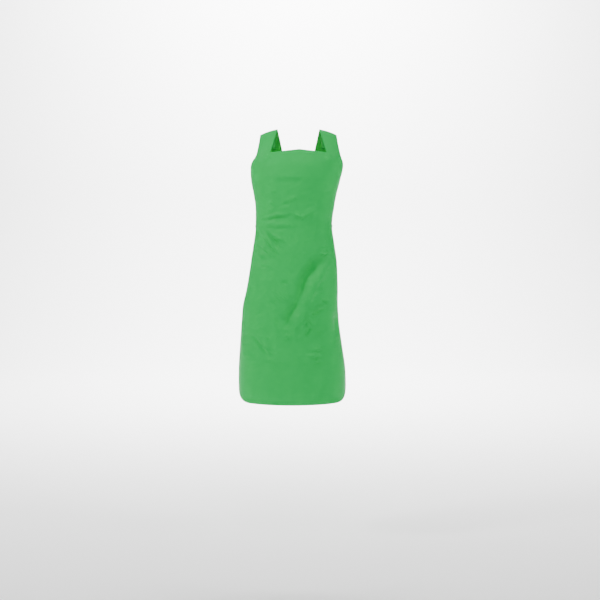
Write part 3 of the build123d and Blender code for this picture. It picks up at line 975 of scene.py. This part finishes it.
def swell(made, count, held, most):
    """Blows up the wearer's side of a pad as cloth under pressure, held at its sewn lines."""
    pins = made.vertex_groups.new(name="sewn")
    pins.add(list(range(count)), 1.0, "REPLACE")
    pins.add(list(range(2 * count, len(made.data.vertices))), 1.0, "REPLACE")
    for k in range(count):
        if held[k] > 0.6:
            pins.add([count + k], 1.0, "REPLACE")
    before = np.array([v.co for v in made.data.vertices], float)
    cloth = made.modifiers.new("stuffing", "CLOTH")
    for setting, value in STUFFING.items():
        setattr(cloth.settings, setting, value)
    cloth.settings.vertex_group_mass = pins.name
    cloth.settings.effector_weights.gravity = 0.0
    cloth.collision_settings.use_collision = False
    cloth.point_cache.frame_start, cloth.point_cache.frame_end = 1, SWELL_FRAMES
    for frame_number in range(1, SWELL_FRAMES + 1):
        bpy.context.scene.frame_set(frame_number)
    apply_modifiers(made)
    bpy.context.scene.frame_set(1)
    after = np.array([v.co for v in made.data.vertices], float)
    move = after - before
    length = np.linalg.norm(move, axis=1)
    scale = np.where(length > most, most / length.clip(1e-9), 1.0)
    made.data.vertices.foreach_set("co", (before + move * scale[:, None]).ravel())
    made.data.update()
    made.vertex_groups.clear()


def apply_modifiers(made):
    """Turns what the modifiers show into the mesh itself."""
    view = bpy.context.evaluated_depsgraph_get()
    shown = bpy.data.meshes.new_from_object(made.evaluated_get(view))
    old = made.data
    made.modifiers.clear()
    made.data = shown
    bpy.data.meshes.remove(old)
    shown.name = made.name


# ---- settings ----
def color_setting(name, description, default):
    return FloatVectorProperty(name=name, description=description, default=default, size=3, min=0,
                               max=1, subtype="COLOR")


class ApronCloth(bpy.types.PropertyGroup):
    """Sizes and colours of the apron's cloth that a user may change."""

    cell: FloatProperty(name="Cell size", description="Spacing of the cloth's mesh",
                        default=0.0038, min=0.003, max=0.02, unit="LENGTH")
    fold_depth: FloatProperty(name="Fold depth", description="How strongly the worn folds stand out",
                              default=1.0, min=0.0, max=1.3, subtype="FACTOR")
    cover_color: color_setting("Cover colour", "Colour of the coated outer cloth",
                               (0.004, 0.50, 0.088))
    lining_color: color_setting("Lining colour", "Colour of the inner cloth",
                                (0.016, 0.36, 0.050))
    pad_color: color_setting("Pad colour", "Colour of the shoulder pads",
                             (0.014, 0.28, 0.045))


class ApronWebbing(bpy.types.PropertyGroup):
    """Colours and stitch size of the straps and closures."""

    webbing_color: color_setting("Webbing colour", "Colour of straps and tapes",
                                 (0.014, 0.32, 0.045))
    pile_color: color_setting("Loop colour", "Colour of the soft closure side",
                              (0.012, 0.27, 0.040))
    stitch_inset: FloatProperty(name="Stitch inset",
                                description="Distance of the edge stitches from the edge",
                                default=0.0055, min=0.003, max=0.009, unit="LENGTH")


def settings_of(context):
    return context.scene.apron_cloth, context.scene.apron_webbing


# ---- operators ----
class APRON_OT_panel(bpy.types.Operator):
    """Makes the four cloth layers of the apron and their edge stitching"""

    bl_idname = "apron.panel"
    bl_label = "Cloth layers"

    def execute(self, context):
        cloth, webbing = settings_of(context)
        panel = make_panel(cloth.cell, cloth.fold_depth)
        cover = cloth_layer("cover_sheet", panel, COVER_FROM, PANEL, cover_material(cloth),
                            ["front_cover"], turned=True, bulge=0.0012)
        lining = cloth_layer("lining_sheet", panel, 0.0, LINING, lining_material(cloth),
                             ["inner_lining"])
        core = material("filled vinyl", (0.12, 0.13, 0.13), 0.7, bump=0.0001, grain=500.0)
        inner = cloth_layer("core_sheet_inner", panel, SHIELD_INNER_FROM, SHIELD_INNER_FROM + SHIELD, core,
                            ["shield_sheet_inner"], margin=SHIELD_MARGIN)
        outer = cloth_layer("core_sheet_outer", panel, SHIELD_OUTER_FROM, SHIELD_OUTER_FROM + SHIELD, core,
                            ["shield_sheet_outer"], margin=SHIELD_MARGIN)
        line = edge_lines(panel, webbing.stitch_inset, PANEL + STITCH_LIFT)
        stitches = sew("edge_stitches", [line], thread_material(cloth), "apron")
        return {"FINISHED"}


class APRON_OT_straps(bpy.types.Operator):
    """Makes the ring loops, the two crossing back straps with their tabs, and their stitching"""

    bl_idname = "apron.straps"
    bl_label = "Back straps"

    def execute(self, context):
        cloth, webbing = settings_of(context)
        web, thread = webbing_material(webbing), thread_material(cloth)
        for name, side in SIDES:
            self.ring_loop(name, side, web, thread)
            self.strap(name, side, web, thread)
        return {"FINISHED"}

    def ring_loop(self, name, side, web, thread):
        upper, _, axes = bars(side)
        outer, inner = PANEL + SEWN_GAP + WEB / 2, -2 * SEWN_GAP - WEB / 2
        steps = spaced(-LOOP_LAP, 0.0005)
        sections = [laid(side, a, outer) for a in steps]
        sections += turn_round(upper, axes, 1)
        sections += [laid(side, a, inner, -1) for a in steps[::-1]]
        points, faces, uv = band(sections)
        piece("ring_web_" + name, points, faces, web, "apron", ["ring_loop_" + name], uv)
        top = PANEL + SEWN_GAP + WEB + STITCH_LIFT
        lines = cross_box(side, -LOOP_LAP + 0.004, -0.005, lambda a: top)
        sew("ring_web_stitches_" + name, lines, thread, "apron")

    def strap(self, name, side, web, thread):
        _, lower, axes = bars(side)
        start = BAR_AT + RING_PITCH
        end = FOLD_AT + TAB_LENGTH
        sections = [laid(side, a, lift_at(side, a)) for a in spaced(end, start + 0.004)]
        sections += turn_round(lower, axes, -1)
        sections += [laid(side, a, -WEB, -1) for a in spaced(start + 0.006, start + RETURN_LAP)]
        points, faces, uv = band(sections)
        made = piece("strap_web_" + name, points, faces, web, None,
                     ["back_strap_" + name, "strap_tab_" + name], uv)
        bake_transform(made)

        def top(a):
            return lift_at(side, a) + WEB / 2 + STITCH_LIFT

        lines = cross_box(side, start + 0.007, start + RETURN_LAP - 0.004, top)
        lines.append(laid_line(side, (FOLD_AT - 0.010, -0.017), (FOLD_AT - 0.010, 0.017), top))
        sew("strap_stitches_" + name, lines, thread, "strap_" + name)


class APRON_OT_closures(bpy.types.Operator):
    """Makes the hook and loop patches and finishes the rings and tab grips"""

    bl_idname = "apron.closures"
    bl_label = "Closures and rings"

    def execute(self, context):
        cloth, webbing = settings_of(context)
        nickel = material("nickel plate", (0.72, 0.73, 0.74), 0.22, bump=0.00002, grain=900.0, metallic=1.0,
                          cast=0.08)
        grip = material("moulded grip", (0.016, 0.38, 0.052), 0.5, bump=0.00008, grain=1100.0, cast=0.1)
        hooks = material("moulded hooks", (0.012, 0.24, 0.040), 0.55, threads=700, bump=0.0005,
                         specular=0.2)
        pile = material("brushed loops", webbing.pile_color, 0.85, bump=0.0009, grain=1500.0, sheen=0.1,
                        specular=0.1)
        for name, side in SIDES:
            for node, finish in (("strap_ring_", nickel), ("tab_grip_", grip)):
                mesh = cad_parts[node + name].data
                mesh.materials.clear()
                mesh.materials.append(finish)
            self.hook_patch(name, side, hooks)
            self.loop_patch(name, side, pile, cloth)
        return {"FINISHED"}

    def hook_patch(self, name, side, finish):
        shift = -(WEB + HOOK) / 2 - 0.00005
        steps = spaced(FOLD_AT + HOOK_FROM, FOLD_AT + HOOK_TO)
        sections = [laid(side, a, lift_at(side, a) + shift) for a in steps]
        points, faces, uv = band(sections, WEB_WIDTH - 0.002, HOOK)
        piece("hooks_" + name, points, faces, finish, "tab_" + name, ["hook_patch_" + name],
              uv)

    def loop_patch(self, name, side, finish, cloth):
        z_values = np.linspace(LOOP_TO[1], LOOP_FROM[1], 36)
        s_values = side * np.linspace(LOOP_FROM[0], LOOP_TO[0], 26)
        places, cells = patch_net(v_back(z_values)[::-1], s_values)
        low = PANEL + SEWN_GAP
        points, faces, uv = patch_solid(places, cells, low, low + LOOP)
        piece("loops_" + name, points, faces, finish, "apron", ["loop_patch_" + name], uv)
        s_in = side * np.array([LOOP_FROM[0] + 0.003, LOOP_TO[0] - 0.003])
        v_in = v_back(np.array([LOOP_FROM[1] - 0.003, LOOP_TO[1] + 0.003]))
        corners = [(v_in[0], s_in[0]), (v_in[1], s_in[0]), (v_in[1], s_in[1]), (v_in[0], s_in[1])]
        lines = []
        for first, last in zip(corners, corners[1:] + corners[:1]):
            t = np.linspace(0, 1, 30)
            v = first[0] + (last[0] - first[0]) * t
            s = first[1] + (last[1] - first[1]) * t
            line = form(v, s, low + LOOP + STITCH_LIFT)
            lines.append((line, (form(v, s, low + LOOP + 0.001) - line) / 0.0009))
        sew("loops_stitches_" + name, lines, thread_material(cloth), "apron")


class APRON_OT_inside(bpy.types.Operator):
    """Makes the shoulder pads, the hanging tape and the blank label on the wearer's side"""

    bl_idname = "apron.inside"
    bl_label = "Pads, tape and label"

    def execute(self, context):
        cloth, webbing = settings_of(context)
        padding = material("quilted knit", cloth.pad_color, 0.8, threads=600, bump=0.0002, sheen=0.05,
                           specular=0.1)
        for name, side in SIDES:
            shoulder_pad("padding_" + name, side, padding)
        self.hanging_tape(webbing_material(webbing), thread_material(cloth))
        self.label()
        return {"FINISHED"}

    def hanging_tape(self, web, thread):
        half_gap = HANG_HALF - HANG_FOOT
        s_values = np.linspace(-HANG_HALF, HANG_HALF, 41)
        rise = np.where(abs(s_values) < half_gap, 0.5 + 0.5 * np.cos(math.pi * s_values / half_gap), 0)
        depth = -SEWN_GAP - HANG_TAPE / 2 - HANG_RISE * rise
        v = float(v_front(HANG_Z))
        centre = form(v, s_values, depth)
        across = surface(v + 0.001, s_values) - surface(v - 0.001, s_values)
        sections = []
        for k in range(len(s_values)):
            ahead = centre[min(k + 1, len(centre) - 1)] - centre[max(k - 1, 0)]
            up = unit(across[k])
            sections.append((centre[k], up, unit(np.cross(ahead, up)), np.zeros(len(LANES))))
        points, faces, uv = band(sections, HANG_WIDE, HANG_TAPE)
        piece("hanging_tape", points, faces, web, "apron", ["hanging_loop"], uv)
        lines = []
        for s in (HANG_HALF - 0.003, half_gap + 0.003):
            for sign in (-1, 1):
                spots = v + np.linspace(-0.0052, 0.0052, 8)
                deep = -SEWN_GAP - HANG_TAPE - STITCH_LIFT
                line = form(spots, sign * s, deep)
                lines.append((line, (form(spots, sign * s, deep - 0.001) - line) / 0.001))
        sew("tape_stitches", lines, thread, "apron")

    def label(self):
        satin = material("woven satin", (0.82, 0.82, 0.80), 0.42, threads=2600, bump=0.00005, sheen=0.2,
                         cast=0.05)
        z_values = np.linspace(LABEL_AT[1] - LABEL_TALL, LABEL_AT[1], 24)
        s_values = np.linspace(LABEL_AT[0], LABEL_AT[0] + LABEL_WIDE, 16)
        places, cells = patch_net(v_front(z_values), s_values)
        points, faces, uv = patch_solid(places, cells, -SEWN_GAP - LABEL_THICK, -SEWN_GAP)
        piece("blank_label", points, faces, satin, "apron", ["care_label"], uv)


class APRON_OT_studio(bpy.types.Operator):
    """Sets up the pale floor, the soft lights and the camera"""

    bl_idname = "apron.studio"
    bl_label = "Studio"

    FLOOR_Z = -1.62
    CAMERA = (0.006, -4.51, -0.343)
    AIM = (0.006, -0.11, -0.650)
    FOCAL = 69.5

    def execute(self, context):
        self.floor()
        world = bpy.data.worlds.new("studio air")
        world.use_nodes = True
        world.node_tree.nodes["Background"].inputs["Color"].default_value = (1.0, 1.0, 1.0, 1)
        world.node_tree.nodes["Background"].inputs["Strength"].default_value = 0.24
        context.scene.world = world
        self.light("right key light", (2.4, -1.25, 1.3), 0.4, 36)
        self.light("left key light", (-2.4, -1.25, 1.5), 0.4, 68)
        self.light("front light", (0.1, -1.9, 1.9), 0.9, 30, aim=(0.0, -0.1, -0.15))
        self.light("back light", (0.5, 2.6, 1.8), 2.4, 22)
        self.light("wall light", (0.0, 3.6, 2.9), 3.0, 1500, aim=(0.0, 6.5, -0.6))
        camera = bpy.data.cameras.new("view")
        camera.lens, camera.sensor_width = self.FOCAL, 36
        context.scene.camera = self.aimed("view", camera, self.CAMERA, self.AIM)
        return {"FINISHED"}

    def light(self, name, place, size, power, aim=(0, -0.05, -0.5)):
        lamp = bpy.data.lights.new(name, "AREA")
        lamp.size, lamp.energy = size, power
        self.aimed(name, lamp, place, aim)

    def aimed(self, name, data, place, aim):
        """Stands a lamp or camera at place, looking at aim."""
        holder = stand(name, data)
        holder.location = place
        holder.rotation_euler = (Vector(aim) - Vector(place)).to_track_quat("-Z", "Y").to_euler()
        return holder

    def floor(self):
        """A floor that curves up into a wall far behind."""
        profile = [(-9.0, 0.0, 9.0), (2.0, 0.0, 9.0), (5.0, 0.0, 3.4)]
        for turn in np.linspace(0.1, math.pi / 2, 14):
            profile.append((5.0 + 1.5 * math.sin(turn), 1.5 - 1.5 * math.cos(turn), 3.4))
        profile.append((6.5, 9.0, 3.4))
        points = [(x, y, self.FLOOR_Z + z) for y, z, wide in profile for x in (-wide, wide)]
        faces = [(2 * k, 2 * k + 1, 2 * k + 3, 2 * k + 2) for k in range(len(profile) - 1)]
        mesh = bpy.data.meshes.new("studio floor")
        mesh.from_pydata(points, [], faces)
        mesh.polygons.foreach_set("use_smooth", [True] * len(faces))
        mesh.materials.append(material("studio white", (0.97, 0.97, 0.97), 0.9, bump=0.0002, grain=60.0,
                                       cast=0.01))
        stand("studio floor", mesh)


class APRON_PT_panel(bpy.types.Panel):
    """Lists the apron's sizes, colours and steps"""

    bl_label = "Apron"
    bl_idname = "APRON_PT_panel"
    bl_space_type = "VIEW_3D"
    bl_region_type = "UI"
    bl_category = "Apron"

    def draw(self, context):
        cloth, webbing = settings_of(context)
        for group in (cloth, webbing):
            for name in type(group).__annotations__:
                self.layout.prop(group, name)
        for step in STEPS_IN_ORDER:
            self.layout.operator(step.bl_idname)


STEPS_IN_ORDER = (APRON_OT_inside, APRON_OT_panel, APRON_OT_straps, APRON_OT_closures, APRON_OT_studio)
CLASSES = (ApronCloth, ApronWebbing, *STEPS_IN_ORDER, APRON_PT_panel)


def register():
    for made in CLASSES:
        bpy.utils.register_class(made)
    bpy.types.Scene.apron_cloth = PointerProperty(type=ApronCloth)
    bpy.types.Scene.apron_webbing = PointerProperty(type=ApronWebbing)


def unregister():
    del bpy.types.Scene.apron_cloth
    del bpy.types.Scene.apron_webbing
    for made in reversed(CLASSES):
        bpy.utils.unregister_class(made)


def main():
    register()
    bpy.ops.apron.inside()
    bpy.ops.apron.panel()
    bpy.ops.apron.straps()
    bpy.ops.apron.closures()
    bpy.ops.apron.studio()


if __name__ == "__main__":
    main()
